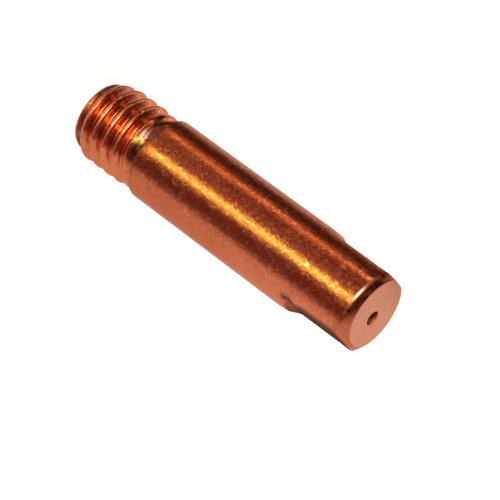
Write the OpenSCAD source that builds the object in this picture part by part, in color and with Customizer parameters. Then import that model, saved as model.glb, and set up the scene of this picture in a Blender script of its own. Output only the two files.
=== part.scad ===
// Contact tip for a wire-feed welding torch: a turned copper bar with a screw
// thread at the rear, a plain body, two spanner flats at the nose and a straight
// bore that the welding wire slides through.
// The tip stands on its rear end. The origin is the centre of the rear end face,
// +Z runs along the bore to the nose, and the flats face +X and -X.

/* [Body] */
// Overall length, from the rear end face to the nose face
overall_len = 25; // [20:0.5:40]
// Diameter of the plain body
body_d = 6; // [5.95:0.05:9]
// Chamfer round the shoulder, at the rear of the body
shoulder_chamfer = 0.15; // [0.02:0.01:0.17]

/* [Nose] */
// Diameter of the flat nose face
face_d = 4.94; // [3:0.01:5.5]
// Length of the chamfer that leads from the body down to the nose face
nose_chamfer_len = 0.44; // [0.1:0.01:1]

/* [Spanner flats] */
// Distance across the two flats
across_flats = 5.1; // [4.6:0.02:5.4]
// How far the pair of flats is milled off the axis, towards -X
flat_shift = 0.09; // [0:0.01:0.15]
// Full-depth length of the flats, from the nose face
flat_len = 4.6; // [2:0.1:8]
// Radius in which the cutter leaves the body at the end of each flat
flat_run_out_r = 0.55; // [0.2:0.05:1]

/* [Wire bore] */
// Diameter of the bore, for wire of about 0.8 mm
bore_d = 1; // [0.7:0.05:1.6]
// Edge break where the bore meets the nose face
bore_edge = 0.05; // [0.01:0.01:0.15]
// Diameter of the funnel at the rear, where the wire enters
entry_d = 2.4; // [1.8:0.1:3]
// Included angle of the wire-entry funnel
entry_angle = 60; // [45:1:90]

/* [Thread] */
// Length of the threaded end, from the rear end face to the shoulder
thread_len = 5.65; // [4:0.05:8]
// Diameter over the thread's crests
thread_major_d = 5.82; // [5.64:0.02:5.9]
// Pitch of the single-start right-hand thread
thread_pitch = 1; // [0.75:0.05:1.25]
// Width of the flat on each crest
thread_crest_flat = 0.26; // [0.14:0.01:0.4]
// Width of the flat at the bottom of the groove
thread_root_flat = 0.14; // [0.05:0.01:0.2]
// Included angle between the flanks
thread_angle = 60; // [50:1:60]
// Height at which a crest crosses the +X side, above a whole number of pitches
thread_phase = 0.09; // [0:0.01:1]
// Height below the shoulder at which the groove has faded out
groove_gap = 0.25; // [0:0.05:0.5]
// Turns over which the groove fades out
fade_turns = 0.3; // [0.2:0.05:0.5]
// Diameter of the rear end face, at the start of the lead-in
rear_face_d = 4.86; // [4:0.02:5.2]
// Length of the lead-in cone
lead_in_len = 1.1; // [0.3:0.1:1.2]
// Diameter of the neck under the shoulder, where the crests are turned away
neck_d = 5.58; // [5:0.02:5.6]
// Length of the neck under the shoulder
neck_len = 1.55; // [0.4:0.05:2]

/* [Smoothness] */
// Facets round the turned surfaces
turned_facets = 128; // [48:8:192]
// Steps in each turn of the thread
thread_steps = 48; // [24:4:60]

/* [Hidden] */
$fn = turned_facets;
// How far each cutter reaches past the surface that it cuts
overrun = 0.2;
copper = [0.72, 0.37, 0.24];

body_r = body_d / 2;
crest_r = thread_major_d / 2;
thread_depth = (thread_pitch - thread_crest_flat - thread_root_flat) / 2 / tan(thread_angle / 2);
root_r = crest_r - thread_depth;
neck_r = neck_d / 2;
groove_out_r = crest_r + overrun / 2;
crest_top = thread_len - neck_len;
// The groove starts half a pitch from a crest, clear of the rear end face, and has
// faded out just below the shoulder
groove_start = thread_phase - (floor(thread_phase / thread_pitch) + 1.5) * thread_pitch;
groove_turns = (thread_len - groove_gap - groove_start) / thread_pitch;
groove_step_count = ceil(groove_turns * thread_steps);
funnel_len = (entry_d - bore_d) / 2 / tan(entry_angle / 2);

// Half of the turned outline, from the rear end face up to the nose face
turned_profile = [
    [0, 0],
    [rear_face_d / 2, 0],
    [crest_r, lead_in_len],
    [crest_r, crest_top],
    [neck_r, crest_top + (crest_r - neck_r)],
    [neck_r, thread_len],
    [body_r - shoulder_chamfer, thread_len],
    [body_r, thread_len + shoulder_chamfer],
    [body_r, overall_len - nose_chamfer_len],
    [face_d / 2, overall_len],
    [0, overall_len],
];

// Radius of the groove's bottom after a number of turns: it lies at the root, and
// rises past the crests over the last turns
function groove_bottom(turn) =
    let (faded = max(0, (turn - groove_turns + fade_turns) / fade_turns))
    root_r + faded * (crest_r + overrun / 4 - root_r);

// Half of the groove's width at a radius, for a groove whose bottom lies at another
function groove_half(r, bottom) = thread_root_flat / 2 + (r - bottom) * tan(thread_angle / 2);

// One cross-section of the groove: bottom and open side, lower and upper corner
function groove_section(turn) =
    let (
        bottom = groove_bottom(turn),
        angle = 360 * turn,
        height = groove_start + turn * thread_pitch,
        low = groove_half(bottom, bottom),
        wide = groove_half(groove_out_r, bottom)
    )
    [for (corner = [[bottom, -low], [groove_out_r, -wide], [groove_out_r, wide], [bottom, low]])
        [corner[0] * cos(angle), corner[0] * sin(angle), height + corner[1]]];

// Cutter of the thread: the groove's cross-section carried along a right-hand helix
module thread_groove() {
    points = [for (i = [0:groove_step_count]) each groove_section(groove_turns * i / groove_step_count)];
    corners = len(groove_section(0));
    sides = [
        for (i = [0:groove_step_count - 1], c = [0:corners - 1])
            let (
                a = i * corners + c,
                b = i * corners + (c + 1) % corners
            )
            each [[a, b, a + corners], [b, b + corners, a + corners]]
    ];
    top = groove_step_count * corners;
    first_end = [for (c = [1:corners - 2]) [0, c + 1, c]];
    last_end = [for (c = [1:corners - 2]) [top, top + c, top + c + 1]];
    polyhedron(points = points, faces = concat(sides, first_end, last_end), convexity = 12);
}

// Cutter of one flat that faces +X, at a distance from the axis
module flat_cutter(distance) {
    depth = body_r - distance + overrun;
    width = body_d + 2 * overrun;
    flat_end = overall_len - flat_len;
    translate([distance, -width / 2, flat_end])
        cube([depth, width, flat_len + overrun]);
    translate([distance + flat_run_out_r, 0, flat_end])
        rotate([90, 0, 0])
            cylinder(r = flat_run_out_r, h = width, center = true);
    translate([distance + flat_run_out_r, -width / 2, flat_end - flat_run_out_r])
        cube([depth, width, flat_len]);
}

// Both flats
module spanner_flats() {
    flat_cutter(across_flats / 2 - flat_shift);
    rotate([0, 0, 180])
        flat_cutter(across_flats / 2 + flat_shift);
}

// Bore for the wire, with its funnel at the rear and its broken edge at the nose
module wire_bore() {
    translate([0, 0, -overrun])
        cylinder(d = bore_d, h = overall_len + 2 * overrun);
    translate([0, 0, -overrun])
        cylinder(
            d1 = entry_d + 2 * overrun * tan(entry_angle / 2),
            d2 = bore_d,
            h = funnel_len + overrun
        );
    translate([0, 0, overall_len - bore_edge])
        cylinder(d1 = bore_d, d2 = bore_d + 2 * (bore_edge + overrun), h = bore_edge + overrun);
}

// The whole tip
module contact_tip() {
    color(copper)
        difference() {
            rotate_extrude()
                polygon(turned_profile);
            thread_groove();
            spanner_flats();
            wire_bore();
        }
}

contact_tip();
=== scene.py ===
import logging
import math
from dataclasses import dataclass, field, replace
from enum import IntEnum
from functools import reduce
from typing import Optional, Union

import bpy
import numpy as np
from mathutils import Matrix, Vector


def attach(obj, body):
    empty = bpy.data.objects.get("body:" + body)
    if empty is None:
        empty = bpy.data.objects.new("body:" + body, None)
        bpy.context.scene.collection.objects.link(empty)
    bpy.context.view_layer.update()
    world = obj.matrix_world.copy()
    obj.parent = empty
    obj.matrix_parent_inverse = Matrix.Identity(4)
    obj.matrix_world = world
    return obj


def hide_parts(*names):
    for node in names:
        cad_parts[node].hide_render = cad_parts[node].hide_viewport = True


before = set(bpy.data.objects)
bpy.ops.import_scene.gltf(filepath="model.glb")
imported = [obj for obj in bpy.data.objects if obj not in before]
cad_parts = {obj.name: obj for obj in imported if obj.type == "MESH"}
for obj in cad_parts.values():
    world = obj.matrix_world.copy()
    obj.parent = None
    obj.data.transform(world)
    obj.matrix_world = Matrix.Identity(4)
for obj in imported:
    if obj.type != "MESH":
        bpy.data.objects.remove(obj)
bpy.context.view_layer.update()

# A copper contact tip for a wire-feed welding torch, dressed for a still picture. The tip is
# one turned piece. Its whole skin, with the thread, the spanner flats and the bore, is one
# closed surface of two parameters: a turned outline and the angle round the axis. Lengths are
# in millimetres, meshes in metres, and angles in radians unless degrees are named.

MM = 0.001
SURFACE_MAP = "OFBake"
# Layer of darkening: oxide in the thread's roots, a darker lead-in, and painted shade at the shoulder, on the
# nose's chamfer and rim, on the neck, by the flat's end, on the nose face and down the bore
DIRT_AND_SHADE_LAYER = "dirt_and_shade"
# Layer of brightening: bright nicks in the crests, and painted light: glints on the nose's rim, on the burr
# and on the nicks in front, and a reflection of the table on the side that the tip lay on
WEAR_AND_GLINT_LAYER = "wear_and_glint"
# Layer that is low on the side that mirrors the table; it keeps the painted glints and the hatch's colour
# swing off that side
AWAY_FROM_TABLE_LAYER = "away_from_table"
WHITE = (1.0, 1.0, 1.0, 1.0)
log = logging.getLogger("contact_tip")

Array = np.ndarray
Pair = tuple[float, float]
Colour = tuple[float, float, float]
Socket = bpy.types.NodeSocket
Value = Union[float, Colour, Socket]

# How far the tip is spun about its axis
SPIN = math.radians(5.7514)
# Directions across the tip, towards the camera and along the axis
ACROSS = Vector((math.cos(SPIN), math.sin(SPIN), 0.0))
NEAR = Vector((math.sin(SPIN), -math.cos(SPIN), 0.0))
AXIS = Vector((0.0, 0.0, 1.0))
# Radians by which Blender's ring texture turns in each unit of the scaled radius
RING_RADIANS = 20.0
# Greatest share of a line that the rounding of a corner takes
GREATEST_SET_BACK = 0.45
# Fine steps round the axis from which the angles of the columns are picked
FINE_STEPS = 7200


class Region(IntEnum):
    """The stretches of the tip's skin, by the tool that made them."""

    BORE = 0
    REAR_FACE = 1
    THREAD = 2
    BODY = 3
    FLATS = 4
    CHAMFER = 5
    NOSE_FACE = 6


def soft_min(a: Array, b: Array, reach: Union[float, Array]) -> Array:
    """The lesser of two surfaces, with the edge where they meet rounded off.

    Formula: the lesser value, less a parabola that is a quarter of the reach deep where
    the two are equal and has faded out where they are the reach apart.

    Args:
        a: First surface.
        b: Second surface.
        reach: Difference at which the rounding starts.

    Returns:
        The rounded lesser value.
    """
    overlap = np.clip(reach - np.abs(a - b), 0.0, None) / reach
    return np.minimum(a, b) - overlap * overlap * reach / 4


def soft_ramp(x: Array, reach: float) -> Array:
    """Zero below zero and x above it, with a rounded bend between: a hyperbola."""
    return (x + np.sqrt(x * x + reach * reach)) / 2


def bell(x: Array, width: Union[float, Array]) -> Array:
    """A bell curve of height one round zero: e to the minus square of x over the width."""
    return np.exp(-((x / width) ** 2))


def turn_from(angle: Array, middle: Union[float, Array]) -> Array:
    """The angle from a middle, the shorter way round: minus half a turn to half a turn."""
    return (angle - middle + math.pi) % math.tau - math.pi


def opaque(colour: Value) -> Union[Socket, tuple[float, ...]]:
    """A colour with full alpha, or a socket as it is."""
    return (*colour, 1.0) if isinstance(colour, tuple) else colour


@dataclass(frozen=True)
class Arc:
    """A soft stretch round the axis: its strength, its middle angle and its width."""

    strength: float
    middle: float
    width: float

    def share(self, angle: Array) -> Array:
        """The strength times a bell of the angle from the middle."""
        return self.strength * bell(turn_from(angle, self.middle), self.width)


@dataclass(frozen=True)
class Spot:
    """A soft spot on the skin: its strength, its height and angle, and the widths of both."""

    strength: float
    height: float
    height_width: float
    angle: float
    angle_width: float

    def share(self, height: Array, angle: Array) -> Array:
        """The strength times a bell of the height and a bell of the angle."""
        on_turn = bell(turn_from(angle, self.angle), self.angle_width)
        return self.strength * bell(height - self.height, self.height_width) * on_turn


@dataclass(frozen=True)
class Ramp:
    """A smooth step of a shader value: where it starts and ends, and its results there."""

    low: float
    high: float
    start: float = 0.0
    end: float = 1.0


class NodeGraph:
    """Short calls that add shader nodes to one node tree."""

    def __init__(self, owner: Union[bpy.types.Material, bpy.types.World]) -> None:
        """Turns the nodes on and empties their tree.

        Args:
            owner: The material or world.
        """
        owner.use_nodes = True
        self.tree = owner.node_tree
        self.tree.nodes.clear()

    def node(self, kind: str, inputs: Optional[dict] = None, **settings: object) -> bpy.types.Node:
        """Adds a node, sets it and fills or links its inputs.

        Args:
            kind: Blender's name for the node type, after the word ShaderNode.
            inputs: Value or socket for each input, by name or place.
            settings: Properties of the node.

        Returns:
            The new node.
        """
        made = self.tree.nodes.new("ShaderNode" + kind)
        for name, value in settings.items():
            setattr(made, name, value)
        for place, value in (inputs or {}).items():
            if isinstance(value, Socket):
                self.tree.links.new(value, made.inputs[place])
            else:
                made.inputs[place].default_value = value
        return made

    def math(self, operation: str, *values: Value, clamp: bool = False) -> Socket:
        """Adds a Math node on the given values and returns its output."""
        inputs = dict(enumerate(values))
        return self.node("Math", inputs, operation=operation, use_clamp=clamp).outputs[0]

    def product(self, *values: Value) -> Socket:
        """Multiplies values, with one Math node for each step."""
        return reduce(lambda first, second: self.math("MULTIPLY", first, second), values)

    def span(self, value: Value, ramp: Ramp) -> Socket:
        """Carries a value along a ramp, smoothly and within its ends."""
        inputs = {0: value, 1: ramp.low, 2: ramp.high, 3: ramp.start, 4: ramp.end}
        return self.node("MapRange", inputs, interpolation_type="SMOOTHSTEP").outputs[0]

    def blend(self, share: Value, first: Value, second: Value) -> Socket:
        """Mixes two colours by a share: inputs 6 and 7 and output 2 of the Mix node."""
        inputs = {0: share, 6: opaque(first), 7: opaque(second)}
        return self.node("Mix", inputs, data_type="RGBA").outputs[2]

    def noise(self, place: Socket, scale: float, detail: float, roughness: float = 0.5) -> Socket:
        """Adds a Noise texture and returns its value, about 0 to 1."""
        inputs = {"Vector": place, "Scale": scale, "Detail": detail, "Roughness": roughness}
        return self.node("TexNoise", inputs).outputs[0]

    def layer(self, name: str) -> Socket:
        """The value of a named layer of the mesh."""
        return self.node("Attribute", attribute_name=name).outputs["Fac"]

    def glow(self, share: Value, colour: Value) -> Socket:
        """A colour times a share, as a vector."""
        inputs = {0: colour, "Scale": share}
        return self.node("VectorMath", inputs, operation="SCALE").outputs[0]

    def sum(self, first: Socket, second: Socket) -> Socket:
        """The sum of two vectors."""
        return self.node("VectorMath", {0: first, 1: second}, operation="ADD").outputs[0]

    def dot(self, vector: Socket, along: Vector) -> Socket:
        """How far a vector reaches along a fixed direction."""
        inputs = {0: vector, 1: tuple(along)}
        return self.node("VectorMath", inputs, operation="DOT_PRODUCT").outputs["Value"]

    def hump(self, value: Socket, middle: float, width: float) -> Socket:
        """A bell of height one round a middle: e to the minus square of the distance over the width."""
        off = self.math("DIVIDE", self.math("SUBTRACT", value, middle), width)
        return self.math("EXPONENT", self.product(off, off, -1.0))


@dataclass(frozen=True)
class Stroke:
    """Marks in one direction: angle, length and width, and the noise that starts and fills them."""

    turn: float
    length: float
    width: float
    start: float
    full: float


HATCH = (
    Stroke(0.45, 0.60, 0.15, 0.25, 0.75),
    Stroke(-0.6, 0.50, 0.14, 0.25, 0.75),
    Stroke(1.2, 0.45, 0.15, 0.25, 0.75),
    Stroke(-1.3, 0.50, 0.13, 0.25, 0.75),
)
SCRATCHES = (
    Stroke(0.5, 0.34, 0.12, 0.64, 0.76),
    Stroke(-0.75, 0.40, 0.11, 0.64, 0.76),
    Stroke(1.25, 0.36, 0.12, 0.64, 0.76),
)

# Where a noise makes a finish blotched, patchy, glinting in patches, darkened, flecked with painted glints or
# hatched
BLOTCH = Ramp(0.32, 0.68, 0.1, 1.0)
PATCH = Ramp(0.3, 0.7, 0.15, 1.0)
GLINT_PATCHES = Ramp(0.38, 0.62, 0.2, 1.0)
DARKENED = Ramp(0.3, 0.65, 0.55, 1.0)
GLINT_FLECK = Ramp(0.54, 0.64)
HATCH_SWING = Ramp(0.36, 0.64)
# The sum of two noises, which makes the roughness uneven
ROUGHNESS_SWING = Ramp(0.7, 1.3)


@dataclass(frozen=True)
class CopperFinish:
    """One finish of the copper, as a tool or use has left it, with the colours of its painted shade and
    painted glints.

    Colours are linear, scales are features in each metre, and depths and pitches are in metres.
    """

    name: str
    colour: Colour
    worn_and_glint: Colour
    tarnish: Colour
    dirt_and_shade: Colour
    roughness: float
    edge_tint: Colour = (0.88, 0.70, 0.62)
    # Pale colour of painted glints: flecks that stand in for light caught by fine scratches
    glint_fleck: Colour = (0.88, 0.42, 0.27)
    glint_fleck_share: float = 0.9
    roughness_spread: float = 0.003
    darkening_roughness: float = 0.18
    grain_scale: float = 4800.0
    grain_depth: float = 2.5e-6
    mottle_scale: float = 2600.0
    mottle_depth: float = 3e-6
    patch_scale: float = 420.0
    tarnish_share: float = 0.5
    hatch_depth: float = 0.0
    hatch_contrast: float = 0.0
    scratch_depth: float = 0.0
    wave_scale: float = 1500.0
    wave_depth: float = 0.0
    ring_pitch: float = 0.0
    ring_depth: float = 0.0

    def material(self, around: float, along: float) -> bpy.types.Material:
        """Makes the procedural material of the finish.

        Args:
            around: Length in millimetres that the surface map's first axis stands for.
            along: Length in millimetres that its second axis stands for.

        Returns:
            The material.
        """
        made = bpy.data.materials.new(self.name)
        graph = NodeGraph(made)
        place = graph.node("TexCoord").outputs["Object"]
        grain = graph.noise(place, self.grain_scale, detail=2.0, roughness=0.6)
        mottle = graph.noise(place, self.mottle_scale, detail=3.0)
        patch = graph.noise(place, self.patch_scale, detail=3.0)
        wave = graph.noise(place, self.wave_scale, detail=1.0)
        hatch = self.strokes(graph, around, along, HATCH)
        dirt_and_shade = graph.layer(DIRT_AND_SHADE_LAYER)
        wear_and_glint = graph.layer(WEAR_AND_GLINT_LAYER)
        away_from_table = graph.layer(AWAY_FROM_TABLE_LAYER)

        unworn = graph.math("SUBTRACT", 1.0, wear_and_glint)
        dull = graph.product(
            graph.span(patch, PATCH), graph.span(mottle, BLOTCH), self.tarnish_share, unworn
        )
        # The worn_and_glint colour paints worn metal, painted glints and the painted reflection of the table,
        # by the wear_and_glint layer
        colour = graph.blend(wear_and_glint, self.colour, self.worn_and_glint)
        colour = graph.blend(dull, colour, self.tarnish)
        # The hatch's colour swing, strongest away from the side that mirrors the table: random tone, and in
        # part a painted stand-in for the glitter of reflections there
        swing = graph.span(hatch, replace(HATCH_SWING, start=-self.hatch_contrast, end=self.hatch_contrast))
        colour = graph.glow(graph.math("MULTIPLY_ADD", swing, away_from_table, 1.0), colour)
        # Painted glints: pale flecks in patches, kept off the side that mirrors the table
        painted_light_share = graph.product(away_from_table, away_from_table, graph.span(wave, GLINT_PATCHES))
        glint_fleck = graph.product(graph.span(grain, replace(GLINT_FLECK, end=self.glint_fleck_share)), painted_light_share)
        colour = graph.blend(glint_fleck, colour, self.glint_fleck)
        # Darkening from the dirt_and_shade layer, root oxide and painted shade, broken up by the mottle
        darkening = graph.math("MULTIPLY", dirt_and_shade, graph.span(mottle, DARKENED), clamp=True)
        colour = graph.blend(darkening, colour, self.dirt_and_shade)

        least, most = self.roughness - self.roughness_spread, self.roughness + self.roughness_spread
        rough = graph.span(graph.math("ADD", grain, mottle), replace(ROUGHNESS_SWING, start=least, end=most))
        rough = graph.math("MULTIPLY_ADD", darkening, self.darkening_roughness, rough)

        normal = self.bump(graph, grain, self.grain_depth)
        normal = self.bump(graph, mottle, self.mottle_depth, normal)
        if self.wave_depth:
            normal = self.bump(graph, wave, self.wave_depth, normal)
        if self.hatch_depth:
            normal = self.bump(graph, hatch, self.hatch_depth, normal)
        if self.scratch_depth:
            scratches = self.strokes(graph, around, along, SCRATCHES)
            normal = self.bump(graph, scratches, self.scratch_depth, normal)
        if self.ring_depth:
            normal = self.bump(graph, self.rings(graph, place), self.ring_depth, normal)
        inputs = {
            "Base Color": colour,
            "Metallic": 1.0,
            "Roughness": rough,
            "Specular Tint": opaque(self.edge_tint),
            "Normal": normal,
        }
        shader = graph.node("BsdfPrincipled", inputs)
        graph.node("OutputMaterial", {"Surface": shader.outputs[0]})
        return made

    @staticmethod
    def bump(graph: NodeGraph, height: Socket, depth: float, below: Optional[Socket] = None) -> Socket:
        """Turns a height into a bumped normal.

        Args:
            graph: Where the node goes.
            height: Height from 0 to 1.
            depth: What a height of 1 stands for, in metres.
            below: Normal that this one is laid over.

        Returns:
            The normal.
        """
        inputs = {"Height": height, "Distance": depth, "Strength": 1.0}
        if below is not None:
            inputs["Normal"] = below
        return graph.node("Bump", inputs).outputs[0]

    @staticmethod
    def strokes(graph: NodeGraph, around: float, along: float, kinds: tuple[Stroke, ...]) -> Socket:
        """Straight strokes in several directions, each kind a noise drawn out long and cut off high.

        Args:
            graph: Where the nodes go.
            around: Millimetres round the tip on the surface map.
            along: Millimetres along the outline on the surface map.
            kinds: The strokes of each direction.

        Returns:
            Height of the skin, 1 where it is bare and 0 at the bottom of a stroke.
        """
        spot = graph.node("UVMap", uv_map=SURFACE_MAP).outputs[0]
        spot = graph.node("Mapping", {"Vector": spot, "Scale": (around, along, 1.0)}).outputs[0]
        height = None
        for kind in kinds:
            turn = (0.0, 0.0, kind.turn)
            turned = graph.node("Mapping", {"Vector": spot, "Rotation": turn}).outputs[0]
            drawn_out = (1 / kind.length, 1 / kind.width, 1.0)
            drawn = graph.node("Mapping", {"Vector": turned, "Scale": drawn_out}).outputs[0]
            mark = graph.noise(drawn, scale=1.0, detail=1.0)
            cut = graph.span(mark, Ramp(kind.start, kind.full, 1.0, 0.0))
            height = cut if height is None else graph.math("ADD", height, cut)
        return graph.math("DIVIDE", height, float(len(kinds)))

    def rings(self, graph: NodeGraph, place: Socket) -> Socket:
        """Fine rings round the axis that a facing tool leaves, a sine of the radius."""
        inputs = {
            "Vector": place, "Scale": math.tau / RING_RADIANS / self.ring_pitch,
            "Distortion": 0.6, "Detail": 2.0, "Detail Scale": 0.4,
        }
        return graph.node("TexWave", inputs, wave_type="RINGS", rings_direction="Z").outputs["Fac"]


COPPER: Colour = (0.61, 0.148, 0.062)
# Brighter copper, which the body and the flats take as a painted reflection of the table on the side that the
# tip lay on
BRIGHT_COPPER: Colour = (0.82, 0.225, 0.112)
DULL_COPPER: Colour = (0.42, 0.09, 0.036)
# Dark brown of the painted shade on the body, the flats and the nose face
SHADE_BROWN: Colour = (0.12, 0.034, 0.020)
BAR = (COPPER, BRIGHT_COPPER, DULL_COPPER, SHADE_BROWN)

FINISHES: dict[Region, CopperFinish] = {
    # The bore's darkest colour is painted shade down the bore
    Region.BORE: CopperFinish(
        "worn_bore", (0.86, 0.33, 0.19), (0.86, 0.33, 0.19), (0.60, 0.21, 0.11), (0.05, 0.010, 0.005), 0.75
    ),
    Region.REAR_FACE: CopperFinish(
        "sawn_rear_face", (0.60, 0.21, 0.11), BRIGHT_COPPER, DULL_COPPER, SHADE_BROWN, 0.40,
        ring_pitch=9e-5, ring_depth=4e-6,
    ),
    # The thread's pale colour is for bright nicks and painted glints; its dark colour is for oxide in the
    # roots, painted shade on the neck and the darker lead-in
    Region.THREAD: CopperFinish(
        "cut_thread", (0.70, 0.20, 0.085), (0.94, 0.78, 0.70), (0.52, 0.12, 0.045),
        (0.05, 0.015, 0.009), 0.20, hatch_depth=2.5e-6, hatch_contrast=0.15,
    ),
    Region.BODY: CopperFinish(
        "drawn_bar", *BAR, 0.28, hatch_depth=3e-6, hatch_contrast=0.2, scratch_depth=1.6e-5, wave_depth=2e-5
    ),
    Region.FLATS: CopperFinish(
        "milled_flats", *BAR, 0.28, hatch_depth=3e-6, hatch_contrast=0.2, scratch_depth=4e-6, glint_fleck_share=0.4
    ),
    # The chamfer's pale colour paints the glint on the rim, and its dark colour paints shade on the chamfer
    # and the rim
    Region.CHAMFER: CopperFinish(
        "turned_chamfer", COPPER, (0.92, 0.60, 0.47), DULL_COPPER, (0.06, 0.014, 0.010), 0.28,
        ring_pitch=9e-5, ring_depth=6e-7,
    ),
    Region.NOSE_FACE: CopperFinish(
        "faced_nose", (0.80, 0.35, 0.215), (0.86, 0.40, 0.26), (0.68, 0.27, 0.155), SHADE_BROWN, 0.42,
        ring_pitch=1.1e-4, ring_depth=2e-6,
    ),
}


@dataclass
class Rows:
    """Rows of the tip's surface, collected along the turned outline."""

    points: list[Array] = field(default_factory=list)
    region: list[Region] = field(default_factory=list)

    def line(self, start: Array, end: Array, shares: Array, region: Region) -> None:
        """Adds rows between two corners: the start plus shares of the way to the end, by column."""
        self.add(start[None] + shares[:, None, None] * (end - start)[None], region)

    def bend(
        self, before: Array, corner: Array, after: Array,
        reach: float, count: int, *regions: Region,
    ) -> None:
        """Adds rows that round a corner off.

        Formula: a parabola that touches both lines at the reach from the corner, or at
        under half of a shorter line.

        Args:
            before: Corner before this one, radius and height by column.
            corner: The corner that is rounded.
            after: Corner after this one.
            reach: Distance from the corner at which the rounding starts.
            count: Number of rows.
            regions: Where the rows belong, in even shares.
        """
        first, last = self.set_back(corner, before, reach), self.set_back(corner, after, reach)
        t = np.linspace(0.0, 1.0, count)[:, None, None]
        points = (1 - t) ** 2 * first[None] + 2 * t * (1 - t) * corner[None] + t**2 * last[None]
        for part, region in zip(np.array_split(points, len(regions)), regions):
            self.add(part, region)

    @staticmethod
    def set_back(corner: Array, towards: Array, reach: float) -> Array:
        """The point at the reach from a corner towards another, or at the greatest share of the way."""
        length = np.linalg.norm(towards - corner, axis=0)
        return corner + (towards - corner) * np.minimum(reach / length, GREATEST_SET_BACK)

    def add(self, points: Array, region: Region) -> None:
        """Adds rows of radius and height, given as rows by 2 by columns."""
        self.points.append(points)
        self.region.extend([region] * len(points))


# A small burr where the groove's cutter came out: a bump of the skin, with a painted glint on it
BURR_AND_GLINT = Spot(1.0, 5.28, 0.22, 4.57, 0.18)
# A painted glint on the nose's rim: a pale patch on the side towards the camera
RIM_GLINT = Spot(1.0, 24.51, 0.06, 4.55, 0.42)
# Painted shade: dark spots on the neck under the shoulder
NECK_SHADE = (
    Spot(1.4, 5.35, 0.42, 4.03, 0.22),
    Spot(1.4, 5.35, 0.42, 5.05, 0.30),
)
# Painted shade in spots: two by the end of the flat that faces +X, one at the shoulder and two on the nose's
# rim
SHADE_SPOTS = (
    Spot(1.4, 19.9, 0.20, math.tau - 0.53, 0.09),
    Spot(1.4, 20.3, 0.24, math.tau - 0.40, 0.22),
    Spot(0.84, 5.65, 0.70, 4.20, 0.20),
    Spot(1.05, 24.56, 0.16, 3.75, 0.35),
    Spot(1.19, 24.56, 0.16, 5.00, 0.20),
)


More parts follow.
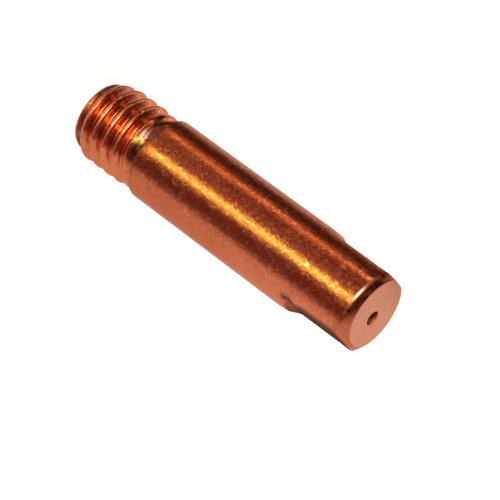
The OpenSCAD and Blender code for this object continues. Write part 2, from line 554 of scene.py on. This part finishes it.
@dataclass(frozen=True)
class DirtWearAndPaintedLight:
    """Where the tip is darkened and brightened, by oxide and wear and by painted shade, glints and a
    reflection of the table: strengths, and where they lie.

    A pair of heights, rises or depths says where a strength starts to change and where it
    has changed. The front is the side towards the camera.
    """

    root_soil: float = 0.05
    root_line: float = 0.4
    root_line_power: int = 7
    # Darker round the lead-in at the rear end
    lead_in_darkening: float = 0.7
    lead_in_height: float = 0.3
    lead_in_width: float = 0.55
    front: Arc = Arc(1.0, 4.72, 0.55)
    # Painted shade at the shoulder's edge, stronger, wider and higher on the side towards the camera
    shoulder_shade: float = 0.27
    shoulder_width: float = 0.13
    front_shoulder_shade: float = 1.13
    front_widening: float = 0.14
    front_lift: float = 0.18
    # Painted shade on the nose face, darker towards -X
    face_shade: float = 0.28
    # Painted shade on the chamfer, on the side towards the camera
    chamfer_shade: Arc = Arc(1.3, 4.4, 0.68)
    chamfer_shade_rises: Pair = (0.04, 0.16)
    # Painted shade down the bore, with a painted patch of light near the mouth
    bore_shade: float = 1.4
    bore_light: Arc = Arc(1.0, 1.4, 0.8)
    bore_light_depths: Pair = (0.22, 0.32)
    bore_mouth_depths: Pair = (0.02, 0.07)
    # Painted reflection of the table: brighter towards the nose on the side that the tip lay on, between
    # these heights
    table_sheen_heights: Pair = (9.0, 21.0)
    # Bright nicks in the crests, and painted glints on them that are stronger on the side towards the camera
    knock_shine: float = 3.5
    front_knock_glint: Arc = Arc(10.5, 4.7, 0.55)
    # The side that the tip lay on, which mirrors the table
    lain_on: Arc = Arc(0.85, -0.1, 0.95)

    def dirt_and_shade(self, tip: "ContactTip", points: Array, angle: Array, depth: Array, region: Array) -> Array:
        """How dark each point is: oxide in the thread's roots, a darker lead-in, and painted shade.

        Formula: oxide in the roots and a darkening of the lead-in, painted shade on the neck and in the shade
        spots, and painted shade in a bell of the height at the shoulder that is stronger, wider and higher in
        front, and on the chamfer. The nose face has painted shade by the square of the way towards -X, and
        the bore has its own painted shade.

        Args:
            tip: The tip.
            points: The points.
            angle: Angles.
            depth: Depth in the thread, 0 at the crests and 1 at the roots.
            region: Region numbers.

        Returns:
            Darkening from 0 to 1.
        """
        height = points[..., 2]
        roots = self.root_soil * depth + self.root_line * depth**self.root_line_power
        # Painted shade on the neck
        neck_shade = sum(neck_spot.share(height, angle) for neck_spot in NECK_SHADE) * (height < tip.thread_len)
        # Darker round the lead-in
        lead_in = self.lead_in_darkening * bell(height - self.lead_in_height, self.lead_in_width)
        darkening = np.where(region == Region.THREAD, roots + neck_shade + lead_in, 0.0)
        # Painted shade in the spots
        darkening = darkening + sum(shade_spot.share(height, angle) for shade_spot in SHADE_SPOTS)

        # Painted shade at the shoulder's edge, strongest in front
        in_front = self.front.share(angle)
        above_edge = height - tip.thread_len - tip.shoulder_chamfer / 2 - self.front_lift * in_front
        edge = bell(above_edge, self.shoulder_width + self.front_widening * in_front)
        darkening = darkening + (self.shoulder_shade + self.front_shoulder_shade * in_front) * edge

        # Painted shade on the chamfer
        above_rim = height - tip.overall_len + tip.nose_chamfer_len
        chamfer_dark = self.chamfer_shade.share(angle) * np.interp(above_rim, self.chamfer_shade_rises, (0.0, 1.0))
        darkening = np.where(region == Region.CHAMFER, darkening + chamfer_dark, darkening)
        # Painted shade on the nose face, darker towards -X
        upper = np.clip(-points[..., 0] / tip.face_r, 0.0, 1.0)
        darkening = np.where(region == Region.NOSE_FACE, self.face_shade * upper**2, darkening)
        # Painted shade down the bore
        darkening = np.where(region == Region.BORE, self.in_bore(tip.overall_len - height, angle), darkening)
        return np.clip(darkening, 0.0, 1.0)

    def in_bore(self, depth: Array, angle: Array) -> Array:
        """Painted shade down the bore: none at the mouth, and less near it on the side that catches light,
        where it leaves a painted patch of light.
        """
        lit = self.bore_light.share(angle) * np.interp(depth, self.bore_light_depths, (1.0, 0.0))
        return self.bore_shade * (1 - lit) * np.interp(depth, self.bore_mouth_depths, (0.0, 1.0))

    def wear_and_glint(self, height: Array, angle: Array, knocks: Array, region: Array) -> Array:
        """How far each point is brightened, by wear and by painted light.

        Formula: a painted reflection of the table, a share of the height on the side that the tip lay on,
        plus the painted glints on the rim and the burr, and the bright knocks, with painted glints on them
        that shine most in front.

        Args:
            height: Heights.
            angle: Angles.
            knocks: Depths of the knocks in the crests.
            region: Region numbers.

        Returns:
            Brightening from 0 to 1.
        """
        # Painted reflection of the table, brighter towards the nose on the side that the tip lay on
        painted_light_share = np.interp(height, self.table_sheen_heights, (0.0, 1.0)) * (1 - self.away_from_table(angle))
        painted_light_share = np.where(region == Region.CHAMFER, 0.0, painted_light_share)
        # Bright nicks, with painted glints on them that are stronger in front
        shine_and_glint = (self.knock_shine + self.front_knock_glint.share(angle)) * np.clip(knocks, 0.0, None)
        worn_and_glint = painted_light_share + RIM_GLINT.share(height, angle) + BURR_AND_GLINT.share(height, angle) + shine_and_glint
        plain = (region == Region.NOSE_FACE) | (region == Region.BORE)
        return np.where(plain, 0.0, np.clip(worn_and_glint, 0.0, 1.0))

    def away_from_table(self, angle: Array) -> Array:
        """How far a point lies from the side that the tip lay on, which mirrors the table: one less a bell of
        the angle.
        """
        return 1 - self.lain_on.share(angle)


@dataclass
class ContactTip:
    """The tip: its sizes in millimetres, its surface and its finishes."""

    overall_len: float = 25.0
    body_r: float = 3.0
    shoulder_chamfer: float = 0.15
    face_r: float = 2.47
    face_drift: float = -0.28
    face_rounding: float = 0.03
    nose_chamfer_len: float = 0.44
    least_chamfer: float = 0.035
    # Distances of the flats that face +X and -X
    flat_distances: Pair = (2.46, 2.64)
    # Rounding of the flats' edges, and what wear adds to it on one of them
    edge_rounding: float = 0.11
    worn_edge_rounding: float = 0.23
    worn_edge_width: float = 0.4
    flat_end: float = 20.4
    flat_run_out_r: float = 0.55
    flat_run_out_wall: float = 40.0
    flat_margin: float = 0.01
    least_cosine: float = 0.05
    waist_drop: float = 1.2
    bore_r: float = 0.5
    bore_edge: float = 0.05
    drill_drift: float = 0.11
    entry_r: float = 1.2
    funnel_len: float = 1.2124
    thread_len: float = 5.65
    crest_r: float = 2.91
    root_r: float = 2.3904
    pitch: float = 1.0
    root_flat: float = 0.14
    root_rounding: float = 0.05
    flank_slope: float = math.sqrt(3.0)
    groove_start: float = -1.41
    groove_turns: float = 6.81
    fade_turns: float = 0.3
    fade_past_crest: float = 0.05
    # Greatest roundings of a crest on its rear side and its nose side
    crest_roundings: Pair = (0.36, 0.18)
    crest_rounding_share: float = 0.8
    least_crest_rounding: float = 0.02
    rear_face_r: float = 2.43
    lead_in_len: float = 1.1
    neck_r: float = 2.79
    crest_top: float = 4.1
    burr_height: float = 0.085
    nick_count: int = 46
    nick_depths: Pair = (0.01, 0.06)
    nick_widths: Pair = (0.05, 0.16)
    columns: int = 272
    column_crowding: float = 2.5
    column_crowding_width: float = 0.06
    seed: int = 7
    dirt_wear_and_painted_light: DirtWearAndPaintedLight = field(default_factory=DirtWearAndPaintedLight)

    def angles(self) -> Array:
        """Angles of the columns, set closer together at the edges of the flats.

        Formula: the angle at which a running density, one plus a bell round each edge,
        has reached an equal share of its total.

        Returns:
            One angle for each column, from 0 up to a full turn.
        """
        fine = np.linspace(0.0, math.tau, FINE_STEPS + 1)
        edges = []
        for side, distance in zip((0.0, math.pi), self.flat_distances):
            half = math.acos(distance / self.body_r)
            edges += [side - half, side + half]
        away = turn_from(fine[None], np.array(edges)[:, None])
        density = 1 + self.column_crowding * bell(away, self.column_crowding_width).sum(0)
        total = np.concatenate([[0.0], np.cumsum((density[1:] + density[:-1]) / 2)])
        shares = np.arange(self.columns) / self.columns
        return np.interp(shares * total[-1], total, fine)

    def flat_limit(self, height: Array, angle: Array) -> Array:
        """Greatest radius that the two flats leave standing.

        Formula: the flat's distance from the axis over the cosine of the angle from its
        middle. Below the flat's end the distance grows along a quarter circle, and past
        that steeply.

        Args:
            height: Heights.
            angle: Angles.

        Returns:
            The limit of the radius.
        """
        below = np.clip((self.flat_end - height) / self.flat_run_out_r, 0.0, None)
        rise = self.flat_run_out_r * (1 - np.sqrt(np.clip(1 - below**2, 0.0, None)))
        rise = rise + self.flat_run_out_wall * np.clip(below - 1, 0.0, None)
        limits = [
            (distance + rise) / np.clip(side * np.cos(angle), self.least_cosine, None)
            for side, distance in zip((1, -1), self.flat_distances)
        ]
        return np.minimum(*limits)

    def flat_reach(self, angle: Array) -> Array:
        """Rounding of the flats' edges: more on the worn edge, by a bell of the angle from it."""
        worn_edge = math.tau - math.acos(self.flat_distances[0] / self.body_r)
        return self.edge_rounding + Arc(self.worn_edge_rounding, worn_edge, self.worn_edge_width).share(angle)

    def cut_groove(self, radius: Array, height: Array, angle: Array) -> Array:
        """Cuts the thread's groove.

        Formula: the groove's middle climbs one pitch a turn. Beside it the limit of the
        radius rises as the flanks do, with a rounded root, and its bottom rises past the
        crests over the last turns. Each point is cut by the groove below it and by the one
        above it, so that a crest is rounded more on its rear side than on its nose side.

        Args:
            radius: Radii of the uncut points.
            height: Heights.
            angle: Angles.

        Returns:
            The radii after the cut.
        """
        rising = (height - self.groove_start) / self.pitch - angle / math.tau
        for groove, rounding in zip((np.floor(rising), np.ceil(rising)), self.crest_roundings):
            off = np.abs(rising - groove) * self.pitch
            turn = groove + angle / math.tau
            faded = np.clip((turn - self.groove_turns) / self.fade_turns + 1, 0.0, None)
            bottom = self.root_r + faded * (self.crest_r + self.fade_past_crest - self.root_r)
            limit = bottom + self.flank_slope * soft_ramp(off - self.root_flat / 2, self.root_rounding)
            reach = self.crest_rounding_share * (radius - bottom)
            radius = soft_min(radius, limit, np.clip(reach, self.least_crest_rounding, rounding))
        return radius

    def nicks(self, height: Array, angle: Array) -> Array:
        """Depth of small knocks in the crests.

        Formula: bells of random depth and width at random heights and angles.

        Args:
            height: Heights.
            angle: Angles.

        Returns:
            Depth below the crest.
        """
        random = np.random.default_rng(self.seed)
        heights = random.uniform(0.0, self.crest_top, self.nick_count)
        turns = random.uniform(0.0, math.tau, self.nick_count)
        depths = random.uniform(*self.nick_depths, self.nick_count)
        widths = random.uniform(*self.nick_widths, self.nick_count)
        away = turn_from(angle[..., None], turns) * self.crest_r
        return (depths * bell(np.hypot(away, height[..., None] - heights), widths)).sum(-1)

    def outline(self, angle: Array) -> Rows:
        """The turned outline in rows, from inside the bore round the rear to the nose and back.

        Formula: straight lines between corners, which parabolas round off. The nose face's edge
        drifts with the cosine of the angle, and less on the far side.

        Args:
            angle: Angles of the columns.

        Returns:
            The rows, before the thread and the flats' run-outs are cut.
        """
        one = np.ones_like(angle)
        even = np.linspace
        top = self.overall_len
        nose_r = soft_min(self.body_r * one, self.flat_limit(top * one, angle), self.flat_reach(angle))
        drift = self.face_drift * np.cos(angle) * (1 - np.clip(np.sin(angle), 0.0, 1.0))
        face_r = soft_min(self.face_r + drift, nose_r - self.least_chamfer, self.face_rounding)
        slope = self.nose_chamfer_len / (self.body_r - self.face_r)
        chamfer = np.minimum((nose_r - np.minimum(face_r, self.face_r)) * slope, self.nose_chamfer_len)
        waist_height = self.flat_end - self.waist_drop

        def ring(radius: float, height: float) -> Array:
            """The same point in every column."""
            return np.array([radius * one, height * one])

        middle = ring(self.bore_r, top / 2)
        throat = ring(self.bore_r, self.funnel_len)
        entry = ring(self.entry_r, 0.0)
        rear = ring(self.rear_face_r, 0.0)
        lead = ring(self.crest_r, self.lead_in_len)
        crest = ring(self.crest_r, self.crest_top)
        neck = ring(self.neck_r, self.crest_top + self.crest_r - self.neck_r)
        root = ring(self.neck_r, self.thread_len)
        foot = ring(self.body_r - self.shoulder_chamfer, self.thread_len)
        shoulder = ring(self.body_r, self.thread_len + self.shoulder_chamfer)
        waist = ring(self.body_r, waist_height)
        nose = np.array([nose_r, top - chamfer])
        face = np.array([face_r, top * one])
        mouth = ring(self.bore_r, top)

        # Heights of rows above the waist, closest together where the cutter leaves the body
        run_out = np.concatenate([
            even(0.08, 0.54, 4), even(0.555, 0.70, 16), even(0.715, 0.90, 11),
            even(0.93, 1.25, 11), even(1.5, 5.0, 13),
        ])
        # A line is told the shares of its length at which rows lie, and a bend its reach and its rows
        rows = Rows()
        rows.line(middle, throat, even(0.0, 0.97, 9), Region.BORE)
        rows.bend(middle, throat, entry, 0.12, 4, Region.BORE)
        rows.line(throat, entry, even(0.15, 0.93, 6), Region.BORE)
        rows.bend(throat, entry, rear, 0.05, 4, Region.REAR_FACE)
        rows.line(entry, rear, even(0.08, 0.93, 6), Region.REAR_FACE)
        rows.bend(entry, rear, lead, 0.05, 4, Region.REAR_FACE)
        rows.line(rear, lead, even(0.06, 0.94, 34), Region.THREAD)
        rows.bend(rear, lead, crest, 0.06, 3, Region.THREAD)
        rows.line(lead, crest, even(0.03, 0.97, 92), Region.THREAD)
        rows.bend(lead, crest, neck, 0.05, 3, Region.THREAD)
        rows.line(crest, neck, np.array([0.4, 0.55]), Region.THREAD)
        rows.bend(crest, neck, root, 0.06, 3, Region.THREAD)
        rows.line(neck, root, even(0.06, 0.97, 40), Region.THREAD)
        rows.bend(neck, root, foot, 0.02, 3, Region.THREAD)
        rows.bend(root, foot, shoulder, 0.03, 4, Region.THREAD)
        rows.line(foot, shoulder, even(0.3, 0.7, 3), Region.THREAD)
        rows.bend(foot, shoulder, waist, 0.06, 6, Region.BODY)
        rows.line(shoulder, waist, even(0.03, 0.99, 22), Region.BODY)
        rows.line(waist, nose, run_out / (top - waist_height), Region.BODY)
        rows.bend(waist, nose, face, 0.20, 12, Region.CHAMFER)
        rows.line(nose, face, even(0.47, 0.53, 2), Region.CHAMFER)
        rows.bend(nose, face, mouth, 0.16, 12, Region.CHAMFER, Region.NOSE_FACE)
        rows.line(face, mouth, even(0.1, 0.93, 9), Region.NOSE_FACE)
        rows.bend(face, mouth, middle, self.bore_edge, 5, Region.BORE)
        rows.line(mouth, middle, even(0.1, 0.95, 16) ** 2, Region.BORE)
        return rows

    def surface(self) -> tuple[Array, Array, dict[str, Array], Array]:
        """Works the whole skin out.

        Formula: the radius of the turned outline, less the knocks and plus the burr, is cut back
        softly to what the groove and the flats leave. A point stands at that radius in the direction
        of its angle. In the upper half the bore drifts off the axis in step with the height, and the
        nose face follows it inwards.

        Returns:
            Points and region numbers by row and column, the named layers of the finishes,
            and the distance along the outline by row.
        """
        angle = self.angles()
        rows = self.outline(angle)
        radius, height = np.concatenate(rows.points).swapaxes(0, 1)
        region = np.array(rows.region)[:, None] + np.zeros((1, self.columns), int)
        turned = np.broadcast_to(angle, radius.shape)

        steps = np.hypot(np.diff(radius[:, 0]), np.diff(height[:, 0]))
        along = np.concatenate([[0.0], np.cumsum(steps)])
        on_thread = region == Region.THREAD
        on_rear = (on_thread | (region == Region.REAR_FACE)) & (height < self.thread_len)
        knocks = self.nicks(height, turned) - self.burr_height * BURR_AND_GLINT.share(height, turned)
        knocks = np.where(on_thread, knocks, 0.0)
        threaded = self.cut_groove(radius - knocks, height, turned)
        depth = np.clip((radius - threaded) / (self.crest_r - self.root_r), 0.0, 1.0)
        radius = np.where(on_rear, threaded, radius)

        on_body = region == Region.BODY
        flat = self.flat_limit(height, turned)
        region = np.where(on_body & (flat < radius - self.flat_margin), Region.FLATS, region)
        radius = np.where(on_body, soft_min(radius, flat, self.flat_reach(turned)), radius)

        points = np.stack([radius * np.cos(turned), radius * np.sin(turned), height], axis=-1)
        on_drill = (region == Region.BORE) | (region == Region.NOSE_FACE)
        off_centre = np.clip((self.face_r - radius) / (self.face_r - self.bore_r), 0.0, 1.0)
        drilled = np.clip(2 * height / self.overall_len - 1, 0.0, 1.0)
        points[..., 0] += np.where(on_drill, self.drill_drift * off_centre * drilled, 0.0)
        layers = {
            DIRT_AND_SHADE_LAYER: self.dirt_wear_and_painted_light.dirt_and_shade(self, points, turned, depth, region),
            WEAR_AND_GLINT_LAYER: self.dirt_wear_and_painted_light.wear_and_glint(height, turned, knocks, region),
            AWAY_FROM_TABLE_LAYER: self.dirt_wear_and_painted_light.away_from_table(turned),
        }
        return points, region, layers, along

    def build(self) -> bpy.types.Object:
        """Makes the mesh: a grid closed both round the axis and along the outline.

        Returns:
            The tip's object, at the origin.
        """
        points, region, layers, along = self.surface()
        rows, columns = points.shape[:2]
        row, column = np.meshgrid(np.arange(rows), np.arange(columns), indexing="ij")
        next_row, next_column = (row + 1) % rows, (column + 1) % columns
        corners = np.stack([
            row * columns + column, row * columns + next_column,
            next_row * columns + next_column, next_row * columns + column,
        ], axis=-1).reshape(-1, 4)

        mesh = bpy.data.meshes.new("contact_tip_skin")
        mesh.vertices.add(rows * columns)
        mesh.vertices.foreach_set("co", (points * MM).astype(np.float32).ravel())
        mesh.loops.add(corners.size)
        mesh.loops.foreach_set("vertex_index", corners.astype(np.int32).ravel())
        mesh.polygons.add(len(corners))
        mesh.polygons.foreach_set("loop_start", np.arange(0, corners.size, 4, dtype=np.int32))
        mesh.polygons.foreach_set("material_index", self.face_regions(region).astype(np.int32))
        mesh.polygons.foreach_set("use_smooth", np.ones(len(corners), bool))
        mesh.update(calc_edges=True)
        mesh.validate()
        for name, values in layers.items():
            layer = mesh.attributes.new(name, "FLOAT", "POINT")
            layer.data.foreach_set("value", values.astype(np.float32).ravel())

        share = np.append(along, along[-1] + along[1]) / (along[-1] + along[1])
        spot = np.stack([
            np.stack([column, column + 1, column + 1, column], -1) / columns,
            np.stack([share[row], share[row], share[row + 1], share[row + 1]], -1),
        ], axis=-1)
        layer = mesh.uv_layers.new(name=SURFACE_MAP)
        layer.uv.foreach_set("vector", spot.astype(np.float32).ravel())
        for kind in Region:
            mesh.materials.append(FINISHES[kind].material(math.tau * self.body_r, float(along[-1])))

        made = bpy.data.objects.new("contact_tip_body", mesh)
        bpy.context.scene.collection.objects.link(made)
        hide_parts("contact_tip")
        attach(made, "root")
        return made

    @staticmethod
    def face_regions(region: Array) -> Array:
        """Region of each face: that of its first corner, or the flats where two corners lie on them.

        Args:
            region: Region numbers of the points, by row and column.

        Returns:
            Region numbers of the faces, in one row.
        """
        ahead = np.roll(region, -1, axis=0)
        four = np.stack([region, np.roll(region, -1, axis=1), ahead, np.roll(ahead, -1, axis=1)])
        flats = (four == Region.FLATS).sum(0) >= 2
        plain = np.where(region == Region.FLATS, Region.BODY, region)
        return np.where(flats, Region.FLATS, plain).ravel()


@dataclass(frozen=True)
class PhotoCamera:
    """A camera placed by where the tip's axis and nose stand in the photograph.

    Pixels are those of a square picture. The axis runs down to the right at an angle, leans
    towards the camera by a tilt, and the tip is spun about it.
    """

    picture: float = 500.0
    lens_px: float = 2377.96
    nose_px: Pair = (373.688, 316.939)
    nose_depth: float = 149.452
    axis_turn: float = math.radians(36.7315)
    axis_tilt: float = math.radians(27.1899)
    sensor: float = 36.0
    # In metres
    clip_start: float = 0.01

    def axes(self) -> Array:
        """The tip's X, Y and Z as the camera sees them: right, down and forward, by row.

        Returns:
            A 3 by 3 array.
        """
        turn, tilt = self.axis_turn, self.axis_tilt
        axis = np.array([math.cos(tilt) * math.cos(turn), math.cos(tilt) * math.sin(turn), -math.sin(tilt)])
        across = np.array([-math.sin(turn), math.cos(turn), 0.0])
        near = np.cross(across, axis)
        x = math.cos(SPIN) * across + math.sin(SPIN) * near
        y = math.sin(SPIN) * across - math.cos(SPIN) * near
        return np.array([x, y, axis])

    def build(self, tip: ContactTip) -> None:
        """Makes the camera.

        Args:
            tip: The tip that it looks at.
        """
        axes = self.axes()
        offset = (np.array(self.nose_px) - self.picture / 2) / self.lens_px
        nose = np.array([*offset, 1.0]) * self.nose_depth
        place = np.array([0.0, 0.0, tip.overall_len]) - axes @ nose
        turned = np.column_stack([axes[:, 0], -axes[:, 1], -axes[:, 2]])
        lens = bpy.data.cameras.new("photo_camera")
        lens.sensor_fit = "HORIZONTAL"
        lens.sensor_width = self.sensor
        lens.lens = self.lens_px / self.picture * self.sensor
        lens.clip_start = self.clip_start
        made = bpy.data.objects.new("photo_camera", lens)
        made.matrix_world = Matrix.Translation(Vector(place * MM)) @ Matrix(turned.tolist()).to_4x4()
        bpy.context.scene.collection.objects.link(made)
        bpy.context.scene.camera = made


@dataclass(frozen=True)
class Panel:
    """A soft panel of light: its colour, its turn round the axis in degrees from the camera's side,
    how far its direction rises along the axis, and the widths in which it fades.
    """

    colour: Colour
    turn: float
    turn_width: float
    rise: float
    rise_width: float


# The first three hang where the plain body mirrors them towards the camera
PANELS = (
    Panel((17.0, 22.0, 6.2), -2.1, 2.25, -0.45, 0.3),
    Panel((6.0, 4.7, 2.6), -71.0, 1.8, -0.45, 0.5),
    Panel((0.06, 0.028, 0.018), -36.0, 34.0, -0.45, 0.5),
    Panel((4.0, 3.7, 3.3), -8.0, 22.0, 0.2, 0.28),
    Panel((1.25, 1.25, 1.25), -111.0, 27.0, 0.3, 0.2),
    Panel((0.7, 0.7, 0.7), -121.0, 7.5, -0.36, 0.06),
    Panel((0.26, 0.075, 0.07), 45.0, 45.0, 0.42, 0.25),
)


@dataclass(frozen=True)
class Lamp:
    """A small round lamp: its colour, how far its direction reaches across the tip, towards the camera
    and along the axis, and its width in one minus the cosine of the angle from there.
    """

    colour: Colour
    across: float
    near: float
    rise: float
    width: float


LAMPS = (
    Lamp((12.0, 9.5, 6.0), -0.324, 0.803, 0.5, 0.024),
    Lamp((1.3, 1.35, 1.2), -0.16, 0.36, -0.92, 0.11),
)


@dataclass(frozen=True)
class Studio:
    """The floor, the card, which paints a reflection of the table's shadow under the tip, and the light.

    The light is a world of its own: a pale table on one side, a dim room on the other, panels
    and small lamps. The gloom is a darker stretch of the room, its turn and width in degrees.
    """

    table: Colour = (0.87, 0.87, 0.87)
    table_lean_across: float = 0.7
    table_lean_along: float = -0.169
    table_set_back: float = -0.150
    table_edge: Ramp = Ramp(-0.06, 0.08)
    room: Colour = (0.16, 0.053, 0.055)
    gloom_turn: float = -108.0
    gloom_width: float = 24.0
    gloom_share: float = 0.8
    floor_half: float = 900.0
    floor_colour: Colour = (0.45, 0.45, 0.45)
    floor_glow: float = 0.8
    # The card: a painted reflection of the table's shadow under the tip, dark near it and paler away, which
    # only mirrors see
    card_x: Pair = (2.2, 9.0)
    card_y: float = 6.0
    card_z: Pair = (17.3, 22.8)
    card_fade: Ramp = Ramp(3.1 * MM, 9.0 * MM)
    card_dark: Colour = (0.006, 0.005, 0.005)
    card_pale: Colour = (0.8, 0.8, 0.8)

    def build_world(self) -> None:
        """Makes the world.

        Formula: the table fills the directions on its side of a leaning plane, and the room
        fills the others. A panel is a bell of the angle round the axis times a bell of the reach
        along it. A lamp is a bell of one minus the cosine of the angle from its direction. The
        camera sees plain white.
        """
        world = bpy.data.worlds.new("studio")
        graph = NodeGraph(world)
        look = graph.node("TexCoord").outputs["Generated"]
        across, near, axial = (graph.dot(look, direction) for direction in (ACROSS, NEAR, AXIS))
        round_axis = graph.math("ARCTAN2", across, near)

        rest = graph.math("MULTIPLY_ADD", axial, self.table_lean_along, self.table_set_back)
        leaning = graph.math("MULTIPLY_ADD", across, self.table_lean_across, rest)
        on_table = graph.span(graph.math("SUBTRACT", leaning, near), self.table_edge)
        gloom = graph.hump(round_axis, math.radians(self.gloom_turn), math.radians(self.gloom_width))
        gloom = graph.math("MULTIPLY_ADD", gloom, -self.gloom_share, 1.0)
        in_room = graph.product(graph.math("SUBTRACT", 1.0, on_table), gloom)
        light = graph.sum(graph.glow(on_table, self.table), graph.glow(in_room, self.room))
        for panel in PANELS:
            turn = graph.hump(round_axis, math.radians(panel.turn), math.radians(panel.turn_width))
            rise = graph.hump(axial, panel.rise, panel.rise_width)
            light = graph.sum(light, graph.glow(graph.product(turn, rise), panel.colour))
        for lamp in LAMPS:
            towards = lamp.across * ACROSS + lamp.near * NEAR + lamp.rise * AXIS
            spot = graph.hump(graph.math("SUBTRACT", 1.0, graph.dot(look, towards)), 0.0, lamp.width)
            light = graph.sum(light, graph.glow(spot, lamp.colour))

        lit = graph.node("Background", {"Color": light, "Strength": 1.0})
        plain = graph.node("Background", {"Color": WHITE, "Strength": 1.0})
        path = graph.node("LightPath")
        seen = graph.math("MAXIMUM", path.outputs["Is Camera Ray"], path.outputs["Is Transmission Ray"])
        mixed = graph.node("MixShader", {0: seen, 1: lit.outputs[0], 2: plain.outputs[0]})
        graph.node("OutputWorld", {"Surface": mixed.outputs[0]})
        bpy.context.scene.world = world

    def build_floor(self) -> bpy.types.Object:
        """Makes the floor: a wide white sheet that keeps a soft shadow.

        Returns:
            The floor's object.
        """
        corners = np.array([[-1, -1, 0], [1, -1, 0], [1, 1, 0], [-1, 1, 0]]) * self.floor_half
        made = self.sheet("floor", corners)
        paper = bpy.data.materials.new("white_floor")
        graph = NodeGraph(paper)
        matt = graph.node("BsdfDiffuse", {"Color": opaque(self.floor_colour)})
        white = graph.node("Emission", {"Color": WHITE, "Strength": self.floor_glow})
        both = graph.node("AddShader", {0: matt.outputs[0], 1: white.outputs[0]})
        graph.node("OutputMaterial", {"Surface": both.outputs[0]})
        made.data.materials.append(paper)
        made.visible_glossy = False
        return made

    def build_shadow_card(self) -> None:
        """Makes the card that the flat facing +X mirrors, which only mirrors see: a painted reflection of the
        table's shadow under the tip, dark near it and paler away.
        """
        (left, right), (low, high), y = self.card_x, self.card_z, self.card_y
        corners = np.array([[left, y, low], [right, y, low], [right, y, high], [left, y, high]])
        made = self.sheet("painted_shadow_card", corners)
        felt = bpy.data.materials.new("painted_shadow_card")
        graph = NodeGraph(felt)
        place = graph.node("SeparateXYZ", {0: graph.node("TexCoord").outputs["Object"]})
        colour = graph.blend(graph.span(place.outputs[0], self.card_fade), self.card_dark, self.card_pale)
        glow = graph.node("Emission", {"Color": colour, "Strength": 1.0})
        graph.node("OutputMaterial", {"Surface": glow.outputs[0]})
        made.data.materials.append(felt)
        made.visible_camera = made.visible_diffuse = made.visible_shadow = False

    @staticmethod
    def sheet(name: str, corners: Array) -> bpy.types.Object:
        """Makes a flat four-cornered sheet of the stage.

        Args:
            name: Its name.
            corners: Its corners in millimetres, in order.

        Returns:
            Its object.
        """
        mesh = bpy.data.meshes.new(name)
        mesh.from_pydata((corners * MM).tolist(), [], [list(range(len(corners)))])
        made = bpy.data.objects.new(name, mesh)
        bpy.context.scene.collection.objects.link(made)
        return made


def main() -> None:
    """Builds the tip, the camera and the studio."""
    logging.basicConfig(level=logging.INFO, format="%(name)s: %(message)s")
    bpy.context.scene.view_settings.view_transform = "Standard"
    tip = ContactTip()
    PhotoCamera().build(tip)
    piece = tip.build()
    log.info("%s: %d faces", piece.name, len(piece.data.polygons))
    studio = Studio()
    studio.build_world()
    floor = studio.build_floor()
    studio.build_shadow_card()
    log.info("%s and light are set", floor.name)


if __name__ == "__main__":
    main()
